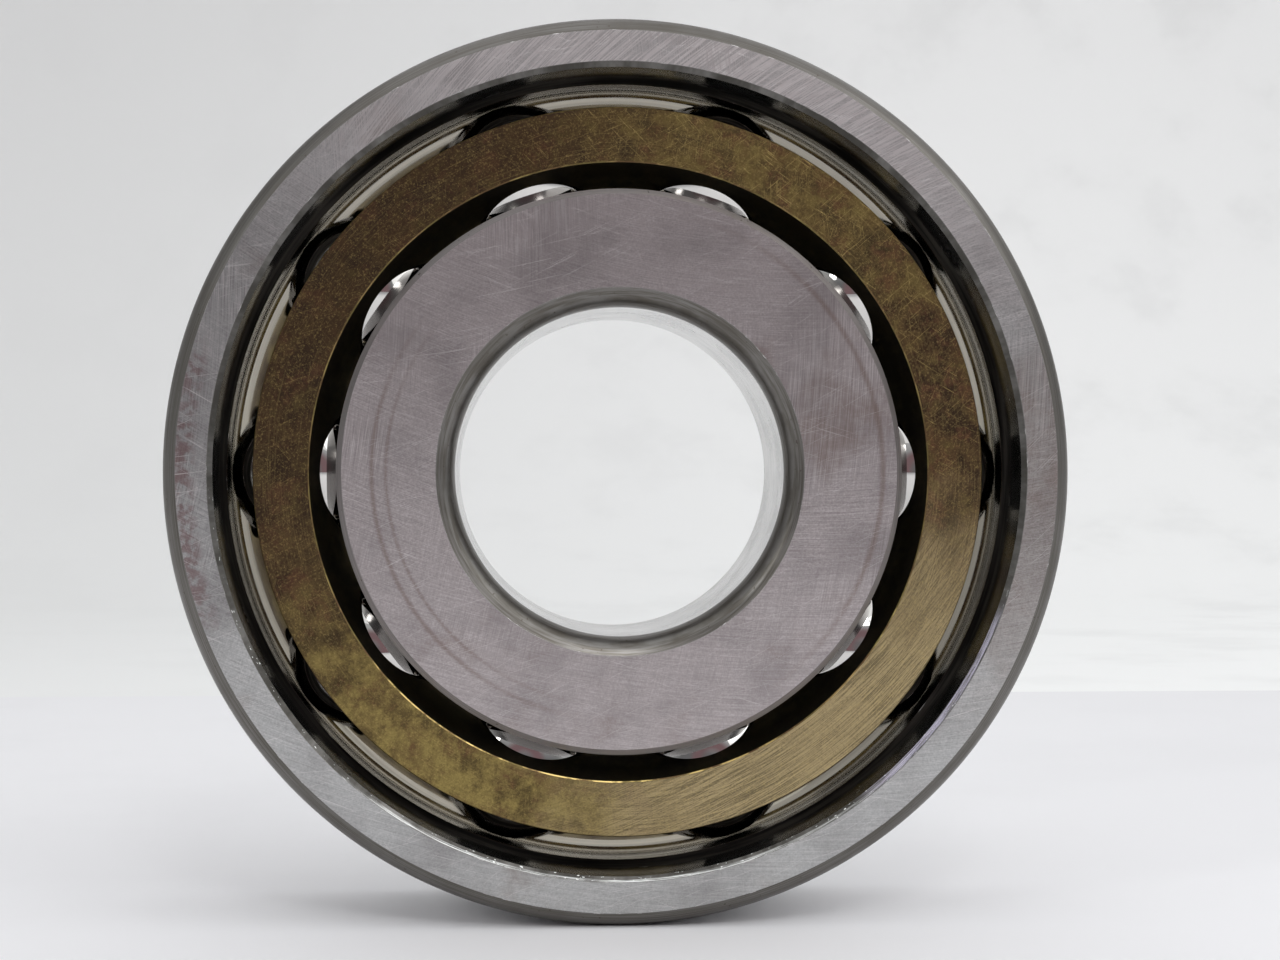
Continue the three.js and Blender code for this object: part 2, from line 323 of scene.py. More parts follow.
class Paint:
    """One material and short calls for its nodes. Texture places are in millimetres."""

    def __init__(self, name):
        self.material = bpy.data.materials.new(name)
        self.material.use_nodes = True
        self.nodes = self.material.node_tree.nodes
        self.links = self.material.node_tree.links
        self.shader = self.nodes["Principled BSDF"]
        coordinates = self.add("TexCoord").outputs["Object"]
        self.place = self.vector("SCALE", coordinates, scale=1 / MM)
        parts = self.add("SeparateXYZ")
        self.feed(parts.inputs[0], self.place)
        self.x, self.y, self.z = parts.outputs
        flat = self.combine(self.x, 0, self.z)
        self.radius = self.vector("LENGTH", flat, output="Value")
        self.around = self.vector("NORMALIZE", flat)

    def add(self, kind, **settings):
        node = self.nodes.new("ShaderNode" + kind)
        for key, value in settings.items():
            setattr(node, key, value)
        return node

    def feed(self, socket, value):
        if isinstance(value, bpy.types.NodeSocket):
            self.links.new(value, socket)
        else:
            socket.default_value = value

    def math(self, operation, first, second=0.0):
        node = self.add("Math", operation=operation)
        self.feed(node.inputs[0], first)
        self.feed(node.inputs[1], second)
        return node.outputs[0]

    def vector(self, operation, first, second=None, scale=None, output="Vector"):
        node = self.add("VectorMath", operation=operation)
        self.feed(node.inputs[0], first)
        if second is not None:
            self.feed(node.inputs[1], second)
        if scale is not None:
            self.feed(node.inputs["Scale"], scale)
        return node.outputs[output]

    def combine(self, x, y, z):
        node = self.add("CombineXYZ")
        for socket, value in zip(node.inputs, (x, y, z)):
            self.feed(socket, value)
        return node.outputs[0]

    def noise(self, place, size, detail=2.0, roughness=0.5):
        """Soft noise, 0 to 1, whose features are about size across."""
        node = self.add("TexNoise", noise_dimensions="3D")
        self.feed(node.inputs["Vector"], place)
        node.inputs["Scale"].default_value = 1 / size
        node.inputs["Detail"].default_value = detail
        node.inputs["Roughness"].default_value = roughness
        return node.outputs[0]

    def remap(self, value, low, high, to_low=0.0, to_high=1.0):
        """Carries low..high smoothly to to_low..to_high."""
        node = self.add("MapRange", interpolation_type="SMOOTHSTEP")
        for socket, number in zip(node.inputs, (value, low, high, to_low, to_high)):
            self.feed(socket, number)
        return node.outputs[0]

    def mix(self, share, first, second):
        """A colour between two; a share of 1 gives the second."""
        node = self.add("Mix", data_type="RGBA")
        self.feed(node.inputs[0], share)
        self.feed(node.inputs[6], first)
        self.feed(node.inputs[7], second)
        return node.outputs[2]

    def turned_place(self, along, across, twist=0.0, seed=0.0, lean=1.0):
        """Places for noise drawn out along circles: along and across are a line's sizes in
        millimetres at the pitch circle, and twist turns circles into spirals. lean is how much
        a step along the axis counts against a step in radius."""
        angle = self.math("MULTIPLY", self.radius, twist)
        rotated = self.rotated(self.around, angle)
        circle = self.vector("SCALE", rotated, scale=PITCH_RADIUS / along)
        axial = self.math("MULTIPLY", self.y, lean)
        level = self.math("DIVIDE", self.math("ADD", self.radius, axial), across)
        return self.vector("ADD", circle, self.combine(seed, level, -seed))

    def lap_place(self, centre, width, length, seed=0.0):
        """Places for noise drawn out along wide arcs about a far centre (x, z): width and
        length are a line's sizes."""
        arm = self.vector("SUBTRACT", self.combine(self.x, 0, self.z), (centre[0], 0, centre[1]))
        reach = self.vector("LENGTH", arm, output="Value")
        along = self.vector("SCALE", self.vector("NORMALIZE", arm),
                            scale=math.hypot(*centre) / length)
        return self.vector("ADD", along, self.combine(seed, self.math("DIVIDE", reach, width), 0))

    def sector(self, azimuth, start, full, spread=0.0):
        """1 near an azimuth (degrees clockwise from the top, seen from the front) and 0 away
        from it, with an edge that wanders by spread."""
        angle = math.radians(azimuth)
        near = self.vector("DOT_PRODUCT", self.around, (math.sin(angle), 0, math.cos(angle)),
                           output="Value")
        if spread:
            wander = self.math("SUBTRACT", self.noise(self.place, WANDER_SIZE, detail=4), 0.5)
            near = self.math("ADD", near, self.math("MULTIPLY", wander, spread))
        return self.remap(near, start, full)

    def rotated(self, vector, angle):
        node = self.add("VectorRotate", rotation_type="Y_AXIS")
        self.feed(node.inputs["Vector"], vector)
        self.feed(node.inputs["Angle"], angle)
        return node.outputs[0]

    def scratches(self, turn, width, length, rarity, seed, bend):
        """Thin lines in one direction across the faces, 0 to 1. rarity near 1 leaves few, and
        bend is how far, in radians, their direction drifts."""
        wander = self.noise(self.place, BEND_SIZE, detail=0)
        angle = self.math("ADD", self.math("MULTIPLY", wander, bend), turn)
        place = self.rotated(self.place, angle)
        place = self.vector("MULTIPLY", place, (1 / length, 1 / width, 1 / width))
        place = self.vector("ADD", place, (seed, seed * 0.7, -seed))
        lines = self.noise(place, 1, detail=1)
        return self.remap(lines, rarity, rarity + SCRATCH_FADE)

    def bump(self, height, depth, under=None):
        """A bump of depth millimetres; under is another bump's normal."""
        node = self.add("Bump")
        node.inputs["Strength"].default_value = 1.0
        node.inputs["Distance"].default_value = depth * MM
        self.feed(node.inputs["Height"], height)
        if under is not None:
            self.feed(node.inputs["Normal"], under)
        return node.outputs[0]

    def finish(self, colour, roughness, normal=None, metallic=1.0, **constants):
        """Sets the shader; constants are other inputs, with _ for a space in their names."""
        self.feed(self.shader.inputs["Base Color"], colour)
        self.feed(self.shader.inputs["Roughness"], roughness)
        self.shader.inputs["Metallic"].default_value = metallic
        if normal is not None:
            self.feed(self.shader.inputs["Normal"], normal)
        for key, value in constants.items():
            self.shader.inputs[key.replace("_", " ")].default_value = value
        return self.material


# ---------------------------------------------------------------- colours and materials

STEEL = srgb(187, 188, 187)
# Steel with a painted pink reflection, used for the inner face and the inner ring's shoulder corners.
STEEL_PAINTED_PINK_REFLECTION = srgb(182, 174, 174)
STEEL_LIGHT = srgb(232, 229, 228)
STEEL_DARK = srgb(112, 106, 107)
CORNER_STEEL = srgb(124, 122, 119)
CORNER_OLIVE = srgb(92, 88, 82)
SMUDGE = srgb(128, 108, 99)
RED_STAIN = srgb(118, 82, 82)
STAIN = srgb(70, 60, 50)
EDGE_GREY = srgb(78, 76, 72)
SHOULDER_GREY = srgb(150, 147, 146)
POLISHED = (0.14, 0.14, 0.14, 1)  # a roughness, as a grey
# Painted highlight along the bottom of the counterbore's rim, and the colour of its burrs.
EDGE_GLINT_AND_BURRS = srgb(246, 248, 246)
# Painted lavender glare on the counterbore's rim.
EDGE_GLARE_LAVENDER = srgb(232, 226, 246)
# Near black for the relief: old oil and painted shade.
OIL_AND_SHADE_BLACK = srgb(38, 36, 33)
MIRROR_STEEL = srgb(212, 210, 206)
HONED_STEEL = srgb(172, 166, 152)
BRASS_BROWN = srgb(96, 75, 54)
BRASS_DARK = srgb(60, 48, 39)
BRASS_OLIVE = srgb(108, 96, 60)
BRASS_RED = srgb(112, 78, 60)
BRASS_YELLOW = srgb(152, 135, 82)
# Pale tan: painted light at the lower right of the cage's face.
BRASS_PAINTED_LIGHT_TAN = srgb(184, 166, 126)
BRASS_GOLD = srgb(216, 190, 122)
# Dark brass of the cage's inside: oily patina, darkened further by painted shade.
BRASS_OIL_AND_SHADE = srgb(66, 62, 52)
# Darker brass of the strokes at the lower right of the cage's face, and painted shade on the cage's
# inside.
BRASS_STROKE_AND_SHADE = srgb(90, 82, 64)
# Sheet whites: painted shade makes the floor a little darker, and painted light the backdrop brighter,
# towards the right.
FLOOR_LEFT = srgb(240, 240, 242)
FLOOR_RIGHT = srgb(236, 236, 238)
FLOOR_SHADE = srgb(234, 234, 236)
WALL_LEFT = srgb(238, 239, 238)
WALL_RIGHT = srgb(252, 253, 252)
WALL_SHADE = srgb(236, 237, 236)
SHEET_LEFT = -300  # between these places, in millimetres, the sheets change colour
SHEET_RIGHT = 320

# Where marks, painted light and painted shade are strongest, in degrees clockwise from the top, seen
# from the front.
# Painted light at the top of the outer face, painted shade at its sides.
FACE_LAPPED_AND_PAINTED_LIGHT_AT = 8
FACE_HANDLED_AND_SHADED_AT = 98
FACE_PAINTED_SHADE_AT = 278
FACE_RED_EDGE_AT = 270
BORE_SIDE_BANDS_AT = 250
SHOULDER_SIDE_BAND_AT = 82
# Painted highlights: the rim's bright line at the bottom and its glare.
RIM_GLINT_LINE_AT = 182
RIM_GLARE_AT = 126
RIM_BURRS_AT = 190
CAGE_YELLOW_AT = 203
CAGE_HALF_YELLOW_AT = 28
# Painted shade at the upper left of the cage's face, painted light at its lower right.
CAGE_SHADED_AT = 300
CAGE_STROKES_AND_PAINTED_LIGHT_AT = 144
CAGE_SCRATCHED_AT = 43
CAGE_OUTER_EDGE_AT = 60
CAGE_INNER_EDGE_AT = 190

# Far centres (x, z) of the arcs that lapping leaves.
FACE_LAP = (22, 130)
FACE_CROSS_LAP = (-190, 25)
FACE_TOP_LAP = (70, -30)
CAGE_STROKE_LAP = (-32, 41)


def inner_face_bands(paint, colour):
    """Thin brown rings left by a washer, fading out round the face."""
    for radius, width, strength, azimuth in ((28.2, 0.4, 0.4, BORE_SIDE_BANDS_AT),
                                             (29.9, 0.5, 0.5, BORE_SIDE_BANDS_AT),
                                             (31.8, 0.6, 0.5, SHOULDER_SIDE_BAND_AT)):
        away = paint.math("ABSOLUTE", paint.math("SUBTRACT", paint.radius, radius))
        ring = paint.remap(away, width, 0.0, 0.0, strength)
        side = paint.sector(azimuth, 0.35, 0.95, spread=0.5)
        colour = paint.mix(paint.math("MULTIPLY", ring, side), colour, SMUDGE)
    return colour


def outer_face_stains_and_painted_light(paint, colour):
    """Lapping marks at the top with painted light that makes the top brighter; brown handling marks
    and painted shade at the right; painted shade and a reddish stain along the outer edge at the left."""
    crossing = paint.noise(paint.lap_place(FACE_TOP_LAP, 0.17, 5, seed=77), 1, detail=3, roughness=0.6)
    lapped = paint.remap(crossing, 0.42, 0.58, 0.3, 1.0)
    # Painted light: the top of the face is lighter, following the lapping pattern.
    bright = paint.math("MULTIPLY", paint.sector(FACE_LAPPED_AND_PAINTED_LIGHT_AT, 0.40, 0.95, spread=0.3), lapped)
    colour = paint.mix(bright, colour, STEEL_LIGHT)
    # Brown marks at the right, which also darken that side as painted shade.
    brown = paint.math("MULTIPLY", paint.sector(FACE_HANDLED_AND_SHADED_AT, 0.86, 1.0, spread=0.3), 0.35)
    colour = paint.mix(brown, colour, SMUDGE)
    # Painted shade: the left side of the face is darker.
    grey = paint.math("MULTIPLY", paint.sector(FACE_PAINTED_SHADE_AT, 0.75, 1.0, spread=0.3), 0.25)
    colour = paint.mix(grey, colour, STEEL_DARK)
    blots = paint.remap(paint.noise(paint.place, 1.1, detail=3, roughness=0.6), 0.40, 0.60)
    edge = paint.math("MULTIPLY", paint.remap(paint.radius, 50.4, 52), blots)
    red = paint.math("MULTIPLY", paint.sector(FACE_RED_EDGE_AT, 0.93, 1.0, spread=0.2), edge)
    return paint.mix(paint.math("MULTIPLY", red, 0.6), colour, RED_STAIN)


def ground_steel(name, base, contrast, marked):
    """Ring faces: fine lapping arcs, crossing arcs, handling scratches and brown smudges, then
    the marks that one face alone has, which on the outer face include painted light and shade."""
    paint = Paint(name)
    arcs = paint.noise(paint.lap_place(FACE_LAP, 0.10, 5), 1, detail=3, roughness=0.65)
    crossing = paint.noise(paint.lap_place(FACE_CROSS_LAP, 0.15, 5, seed=31), 1, detail=2)
    grain = paint.noise(paint.place, 0.22, detail=2)
    upper = paint.remap(paint.z, -42, 6)
    patch = paint.remap(paint.noise(paint.place, 16, detail=2), 0.42, 0.62)
    crossed = paint.math("MULTIPLY", patch, upper)
    lines = paint.math("ADD", paint.math("MULTIPLY", arcs, 0.62), paint.math("MULTIPLY", grain, 0.38))
    lines = paint.mix(paint.math("MULTIPLY", crossed, 0.75), lines, crossing)
    depth = paint.remap(paint.z, -45, 0, 0.5 * contrast, contrast)
    dark = paint.math("MULTIPLY", paint.remap(lines, 0.50, 0.38, 0, 0.8), depth)
    light = paint.math("MULTIPLY", paint.remap(lines, 0.50, 0.62), depth)
    colour = paint.mix(dark, base, STEEL_DARK)
    colour = paint.mix(light, colour, STEEL_LIGHT)
    cloud = paint.noise(paint.place, 13, detail=4, roughness=0.6)
    colour = paint.mix(paint.remap(cloud, 0.42, 0.72, 0.0, 0.4), colour, STEEL_DARK)
    smudge = paint.remap(paint.noise(paint.place, 19, detail=5, roughness=0.68), 0.53, 0.70, 0, 0.5)
    colour = paint.mix(smudge, colour, SMUDGE)
    colour = marked(paint, colour)
    marks = paint.scratches(0.25, 0.08, 8, 0.70, 5, bend=0.5)
    for turn, width, length, rarity, seed in ((1.9, 0.07, 5, 0.73, 17), (-0.5, 0.08, 9, 0.72, 43),
                                              (0.05, 0.09, 12, 0.70, 71)):
        more = paint.scratches(turn, width, length, rarity, seed, bend=0.4)
        marks = paint.math("MAXIMUM", marks, more)
    colour = paint.mix(paint.math("MULTIPLY", marks, 0.95 * contrast), colour, STEEL_LIGHT)
    roughness = paint.remap(lines, 0.3, 0.7, 0.36, 0.28)
    grooves = paint.bump(lines, 0.005 * contrast)
    return paint.finish(colour, roughness, paint.bump(marks, 0.002, grooves))


def turned_steel(name, colour_low, colour_high, rough, depth, along=16, across=0.12):
    """Ground or turned round surfaces: fine lines that run round the ring."""
    paint = Paint(name)
    lines = paint.noise(paint.turned_place(along, across), 1, detail=3, roughness=0.6)
    cloud = paint.noise(paint.place, 8, detail=4, roughness=0.6)
    colour = paint.mix(paint.remap(lines, 0.3, 0.7), colour_low, colour_high)
    colour = paint.mix(paint.remap(cloud, 0.4, 0.75, 0, 0.4), colour, colour_low)
    specks = paint.remap(paint.noise(paint.place, 0.5, detail=2), 0.70, 0.76, 0, 0.7)
    colour = paint.mix(specks, colour, STAIN)
    roughness = paint.remap(cloud, 0.3, 0.7, rough, rough + 0.1)
    return paint.finish(colour, roughness, paint.bump(lines, depth))


def raceway_steel():
    """Honed mirror surface with faint lines round the ring."""
    paint = Paint("raceway_steel")
    lines = paint.noise(paint.turned_place(40, 0.8, lean=-1), 1, detail=1)
    film = paint.noise(paint.place, 5, detail=3)
    colour = paint.mix(paint.remap(lines, 0.3, 0.7, 0, 0.3), HONED_STEEL, CORNER_STEEL)
    roughness = paint.remap(film, 0.3, 0.7, 0.05, 0.12)
    return paint.finish(colour, roughness, paint.bump(lines, 0.0003))


def scuffed_land():
    """The retaining land: dull steel with broad, lighter streaks rubbed round the ring."""
    paint = Paint("scuffed_land_steel")
    streaks = paint.noise(paint.turned_place(40, 2), 1, detail=1)
    fine = paint.noise(paint.turned_place(24, 0.8, seed=4), 1, detail=0)
    lines = paint.math("ADD", paint.math("MULTIPLY", streaks, 0.7), paint.math("MULTIPLY", fine, 0.3))
    colour = paint.mix(paint.remap(lines, 0.42, 0.6, 0.1, 0.8), CORNER_OLIVE, STEEL)
    return paint.finish(colour, paint.remap(lines, 0.35, 0.65, 0.24, 0.14), paint.bump(streaks, 0.0001))


def oiled_and_shaded_relief():
    """The turned step behind the counterbore, black with old oil and with painted shade."""
    paint = Paint("oiled_relief_steel")
    film = paint.noise(paint.turned_place(12, 0.6), 1, detail=4, roughness=0.6)
    colour = paint.mix(paint.remap(film, 0.40, 0.65), OIL_AND_SHADE_BLACK, CORNER_OLIVE)
    return paint.finish(colour, paint.remap(film, 0.3, 0.7, 0.4, 0.55), paint.bump(film, 0.006),
                        metallic=0.6)


def nicked_edge(name, base, bright, share):
    """A worn edge: its base colour between small bright streaks."""
    paint = Paint(name)
    patches = paint.noise(paint.turned_place(5, 1.5), 1, detail=5, roughness=0.7)
    runs = paint.noise(paint.turned_place(9, 3, seed=21), 1, detail=3, roughness=0.6)
    streaks = paint.noise(paint.turned_place(1.6, 0.3, seed=9, lean=-1), 1, detail=4, roughness=0.7)
    nicks = paint.math("MULTIPLY", paint.remap(streaks, 0.54, 0.66),
                       paint.remap(runs, share, share + 0.1))
    colour = paint.mix(paint.remap(patches, 0.42, 0.75, 0, 0.7), base, CORNER_STEEL)
    colour = paint.mix(nicks, colour, bright)
    roughness = paint.remap(patches, 0.3, 0.7, 0.5, 0.3)
    return paint.finish(colour, roughness, paint.bump(patches, 0.008))


def counterbore_edge():
    """The counterbore's front edge: dull grey, with a thin bright line at the bottom and a lavender
    glare on the lower right that are painted highlights, and a few burrs."""
    paint = Paint("counterbore_edge_steel")
    rim = COUNTERBORE_RADIUS + COUNTERBORE_EDGE
    streaks = paint.noise(paint.turned_place(4, 0.16, seed=9, lean=-1), 1, detail=4, roughness=0.7)
    burrs = paint.noise(paint.turned_place(0.5, 0.4, seed=4, lean=-1), 1, detail=2)
    patches = paint.noise(paint.turned_place(6, 1.5), 1, detail=5, roughness=0.7)
    # Painted highlight: a thin bright line near the face along the bottom.
    near_face = paint.remap(paint.radius, rim - 0.34, rim - 0.16)
    bottom = paint.sector(RIM_GLINT_LINE_AT, 0.72, 0.93, spread=0.4)
    line = paint.math("MULTIPLY", paint.math("MULTIPLY", near_face, bottom),
                      paint.remap(streaks, 0.42, 0.60, 0.1, 0.9))
    # Painted highlight: a lavender glare on the lower right.
    glare = paint.math("MULTIPLY", paint.sector(RIM_GLARE_AT, 0.95, 0.995, spread=0.04),
                       paint.remap(streaks, 0.40, 0.62))
    few = paint.math("MULTIPLY", paint.remap(burrs, 0.66, 0.72),
                     paint.sector(RIM_BURRS_AT, -0.1, 0.7))
    colour = paint.mix(paint.remap(patches, 0.40, 0.70), EDGE_GREY, CORNER_STEEL)
    colour = paint.mix(paint.math("MAXIMUM", line, few), colour, EDGE_GLINT_AND_BURRS)
    colour = paint.mix(glare, colour, EDGE_GLARE_LAVENDER)
    roughness = paint.mix(glare, paint.remap(patches, 0.3, 0.7, 0.5, 0.34), POLISHED)
    return paint.finish(colour, roughness, paint.bump(streaks, 0.004))


def ball_steel():
    """Lapped mirror steel with a thin uneven oil film."""
    paint = Paint("ball_steel")
    film = paint.noise(paint.place, 4, detail=4, roughness=0.6)
    hair = paint.scratches(0.9, 0.05, 6, 0.72, 3, bend=1.0)
    colour = paint.mix(paint.remap(film, 0.35, 0.7, 0, 0.25), MIRROR_STEEL, STEEL)
    roughness = paint.math("ADD", paint.remap(film, 0.3, 0.7, 0.02, 0.06),
                           paint.math("MULTIPLY", hair, 0.08))
    return paint.finish(colour, roughness, Specular_Tint=(0.3, 0.3, 0.32, 1))


def brass_worn(name):
    """The cage's front face: brown, olive and reddish patina, yellower where it is handled, darker
    at the upper left by painted shade and pale along straight strokes at the lower right by painted
    light."""
    paint = Paint(name)
    cloud = paint.noise(paint.place, 7, detail=6, roughness=0.7)
    mottle = paint.noise(paint.vector("ADD", paint.place, (40, 0, 7)), 2.6, detail=6, roughness=0.72)
    hue = paint.noise(paint.vector("ADD", paint.place, (0, 90, 13)), 4.5, detail=6, roughness=0.75)
    grain = paint.noise(paint.place, 0.2, detail=3, roughness=0.7)
    turning = paint.noise(paint.turned_place(9, 0.12, twist=0.035), 1, detail=3, roughness=0.62)
    strokes = paint.noise(paint.lap_place(CAGE_STROKE_LAP, 0.12, 4, seed=11), 1, detail=3, roughness=0.6)
    patina = paint.math("ADD", paint.math("MULTIPLY", cloud, 0.55),
                        paint.math("MULTIPLY", mottle, 0.45))
    colour = paint.mix(paint.remap(patina, 0.40, 0.58), BRASS_DARK, BRASS_BROWN)
    colour = paint.mix(paint.remap(hue, 0.50, 0.64, 0, 0.6), colour, BRASS_RED)
    colour = paint.mix(paint.remap(mottle, 0.48, 0.68, 0, 0.6), colour, BRASS_OLIVE)
    half_yellow = paint.sector(CAGE_HALF_YELLOW_AT, 0.75, 1.0, spread=0.5)
    yellow = paint.math("MAXIMUM", paint.sector(CAGE_YELLOW_AT, 0.55, 0.95, spread=0.8),
                        paint.math("MULTIPLY", half_yellow, 0.55))
    patches = paint.math("MULTIPLY", paint.remap(mottle, 0.38, 0.62, 0.3, 1.0),
                         paint.remap(hue, 0.62, 0.46, 0.45, 1.0))
    colour = paint.mix(paint.math("MULTIPLY", yellow, patches), colour, BRASS_YELLOW)
    # Painted shade: the upper left of the face is darker.
    shade = paint.math("MULTIPLY", paint.sector(CAGE_SHADED_AT, 0.3, 0.95, spread=0.6), 0.45)
    colour = paint.mix(shade, colour, BRASS_DARK)
    lines = paint.math("ADD", paint.math("MULTIPLY", strokes, 0.6),
                       paint.math("MULTIPLY", turning, 0.4))
    # Painted light: pale tan stripes along the strokes at the lower right.
    stripes = paint.mix(paint.remap(lines, 0.41, 0.58), BRASS_STROKE_AND_SHADE, BRASS_PAINTED_LIGHT_TAN)
    stripes = paint.mix(paint.remap(cloud, 0.38, 0.60, 0.55, 0.25), stripes, BRASS_PAINTED_LIGHT_TAN)
    rubbed = paint.sector(CAGE_STROKES_AND_PAINTED_LIGHT_AT, 0.56, 0.95, spread=0.4)
    colour = paint.mix(rubbed, colour, stripes)
    colour = paint.mix(paint.remap(turning, 0.52, 0.75, 0, 0.16), colour, BRASS_GOLD)
    colour = paint.mix(paint.remap(grain, 0.52, 0.72, 0, 0.3), colour, BRASS_GOLD)
    colour = paint.mix(paint.remap(grain, 0.48, 0.28, 0, 0.4), colour, BRASS_DARK)
    marks = paint.scratches(0.2, 0.05, 5, 0.70, 11, bend=0.6)
    for turn, width, length, rarity, seed in ((1.35, 0.05, 6, 0.70, 23), (0.8, 0.05, 3.5, 0.70, 37),
                                              (-0.9, 0.05, 5, 0.71, 59)):
        more = paint.scratches(turn, width, length, rarity, seed, bend=0.5)
        marks = paint.math("MAXIMUM", marks, more)
    handled = paint.remap(paint.sector(CAGE_SCRATCHED_AT, 0.45, 1.0, spread=0.5), 0, 1, 0.2, 0.6)
    colour = paint.mix(paint.math("MULTIPLY", marks, handled), colour, BRASS_GOLD)
    roughness = paint.remap(patina, 0.35, 0.65, 0.44, 0.32)
    grooves = paint.bump(lines, 0.003)
    return paint.finish(colour, roughness, paint.bump(marks, 0.003, grooves))


def brass_edge(name, azimuth, reach):
    """An edge rubbed to a broken golden line, mostly near an azimuth. The lower reach is, the
    farther round the line goes."""
    paint = Paint(name)
    runs = paint.noise(paint.turned_place(3, 1.0, seed=5), 1, detail=4, roughness=0.65)
    cloud = paint.noise(paint.place, 3, detail=4, roughness=0.6)
    worn = paint.remap(paint.sector(azimuth, reach, 0.95, spread=0.4), 0, 1, 0.2, 0.8)
    rubbed = paint.math("MULTIPLY", paint.remap(runs, 0.45, 0.62), worn)
    colour = paint.mix(paint.remap(cloud, 0.4, 0.6), BRASS_BROWN, BRASS_OLIVE)
    colour = paint.mix(rubbed, colour, BRASS_GOLD)
    return paint.finish(colour, paint.remap(runs, 0.4, 0.6, 0.42, 0.32), paint.bump(runs, 0.003))


def brass_plain(name, low, high, rough, depth):
    """The cage's other surfaces: turned brass with one kind of patina."""
    paint = Paint(name)
    cloud = paint.noise(paint.place, 6, detail=5, roughness=0.68)
    turning = paint.noise(paint.turned_place(26, 0.14), 1, detail=3, roughness=0.6)
    colour = paint.mix(paint.remap(cloud, 0.38, 0.62), low, high)
    colour = paint.mix(paint.remap(turning, 0.52, 0.75, 0, 0.3), colour, high)
    roughness = paint.remap(cloud, 0.35, 0.65, rough + 0.1, rough)
    return paint.finish(colour, roughness, paint.bump(turning, depth))


def sheet_white(name, left, right, shade):
    """Matt paper that goes from one white at the left to another at the right, which is painted
    light and shade, with faint clouds of grey."""
    paint = Paint(name)
    # Painted light and shade: the colour changes from left to right.
    colour = paint.mix(paint.remap(paint.x, SHEET_LEFT, SHEET_RIGHT), left, right)
    cloud = paint.noise(paint.place, 60, detail=4, roughness=0.55)
    grain = paint.noise(paint.place, 0.8, detail=2)
    tone = paint.mix(paint.remap(cloud, 0.45, 0.7, 0, 0.5), colour, shade)
    return paint.finish(tone, 0.6, paint.bump(grain, 0.02), metallic=0.0)


MATERIALS = {
    "face": ground_steel("ground_steel_face", STEEL, 0.6, outer_face_stains_and_painted_light),
    # The inner face's colour carries a painted pink reflection.
    "inner_face": ground_steel("ground_steel_inner_face", STEEL_PAINTED_PINK_REFLECTION, 0.42, inner_face_bands),
    "glint": nicked_edge("ground_edge_steel", CORNER_STEEL, STEEL_LIGHT, 0.45),
    "corner": turned_steel("corner_steel", CORNER_OLIVE, CORNER_STEEL, 0.3, 0.0012, along=9),
    "rounded": turned_steel("shoulder_corner_steel", SHOULDER_GREY, STEEL_PAINTED_PINK_REFLECTION, 0.34, 0.0015),
    "outside": turned_steel("ground_outside_steel", STEEL, STEEL_LIGHT, 0.3, 0.002),
    "bore": turned_steel("ground_bore_steel", STEEL, STEEL_LIGHT, 0.2, 0.002),
    "raceway": raceway_steel(),
    "land": scuffed_land(),
    "lip": nicked_edge("land_lip_steel", STAIN, STEEL_LIGHT, 0.5),
    "relief": oiled_and_shaded_relief(),
    "counterbore": turned_steel("counterbore_steel", CORNER_STEEL, STEEL, 0.18, 0.0006),
    "rim": counterbore_edge(),
    "shoulder": turned_steel("shoulder_side_steel", CORNER_STEEL, STEEL_DARK, 0.16, 0.0008),
    "ball": ball_steel(),
    "brass_face": brass_worn("brass_face"),
    "brass_back": brass_plain("brass_back", BRASS_BROWN, BRASS_YELLOW, 0.36, 0.004),
    "brass_edge": brass_edge("brass_outer_edge", CAGE_OUTER_EDGE_AT, -0.6),
    "brass_side": brass_plain("brass_side", BRASS_DARK, BRASS_OLIVE, 0.32, 0.003),
    "brass_taper": brass_plain("brass_taper", BRASS_BROWN, BRASS_YELLOW, 0.34, 0.004),
    # Painted shade: the cage's inside is darkened, over an oily patina.
    "brass_inside": brass_plain("brass_inside", BRASS_OIL_AND_SHADE, BRASS_STROKE_AND_SHADE, 0.32, 0.002),
    "brass_rim": brass_edge("brass_inner_edge", CAGE_INNER_EDGE_AT, 0.5),
}


# ---------------------------------------------------------------- the bearing

def make_ring(name, outline):
    ring = turned(name + "_turned", outline, RING_SEGMENTS)
    smooth(ring)
    place(ring, name, name, "ring_steel")


def make_cage():
    """Turns the blank and bores the ten radial pockets through it."""
    cage = turned("cage_machined", cage_outline(), RING_SEGMENTS)
    bpy.context.scene.collection.objects.link(cage)
    work = bmesh.new()
    middle = (POCKET_INNER_END + POCKET_OUTER_END) / 2 * MM
    for index in range(BALL_COUNT):
        outward = ball_place(index)[0].normalized()
        turn = outward.to_track_quat("Z", "Y").to_matrix().to_4x4()
        bmesh.ops.create_cone(
            work, cap_ends=True, segments=POCKET_SEGMENTS,
            depth=(POCKET_OUTER_END - POCKET_INNER_END) * MM,
            radius1=POCKET_RADIUS * MM, radius2=POCKET_RADIUS * MM,
            matrix=Matrix.Translation(outward * middle) @ turn)
    drills = bpy.data.meshes.new("pocket_drills")
    work.to_mesh(drills)
    work.free()
    drills.materials.append(MATERIALS["brass_inside"])
    tool = bpy.data.objects.new("pocket_drills", drills)
    bpy.context.scene.collection.objects.link(tool)
    cut = cage.modifiers.new("pockets", "BOOLEAN")
    cut.operation = "DIFFERENCE"
    cut.solver = "EXACT"
    cut.object = tool
    cut.material_mode = "TRANSFER"
    graph = bpy.context.evaluated_depsgraph_get()
    finished = bpy.data.meshes.new_from_object(cage.evaluated_get(graph))
    cage.modifiers.clear()
    cage.data = finished
    bpy.data.objects.remove(tool)
    bpy.context.scene.collection.objects.unlink(cage)
    smooth(cage)
    place(cage, "cage", "cage", "cage_brass")


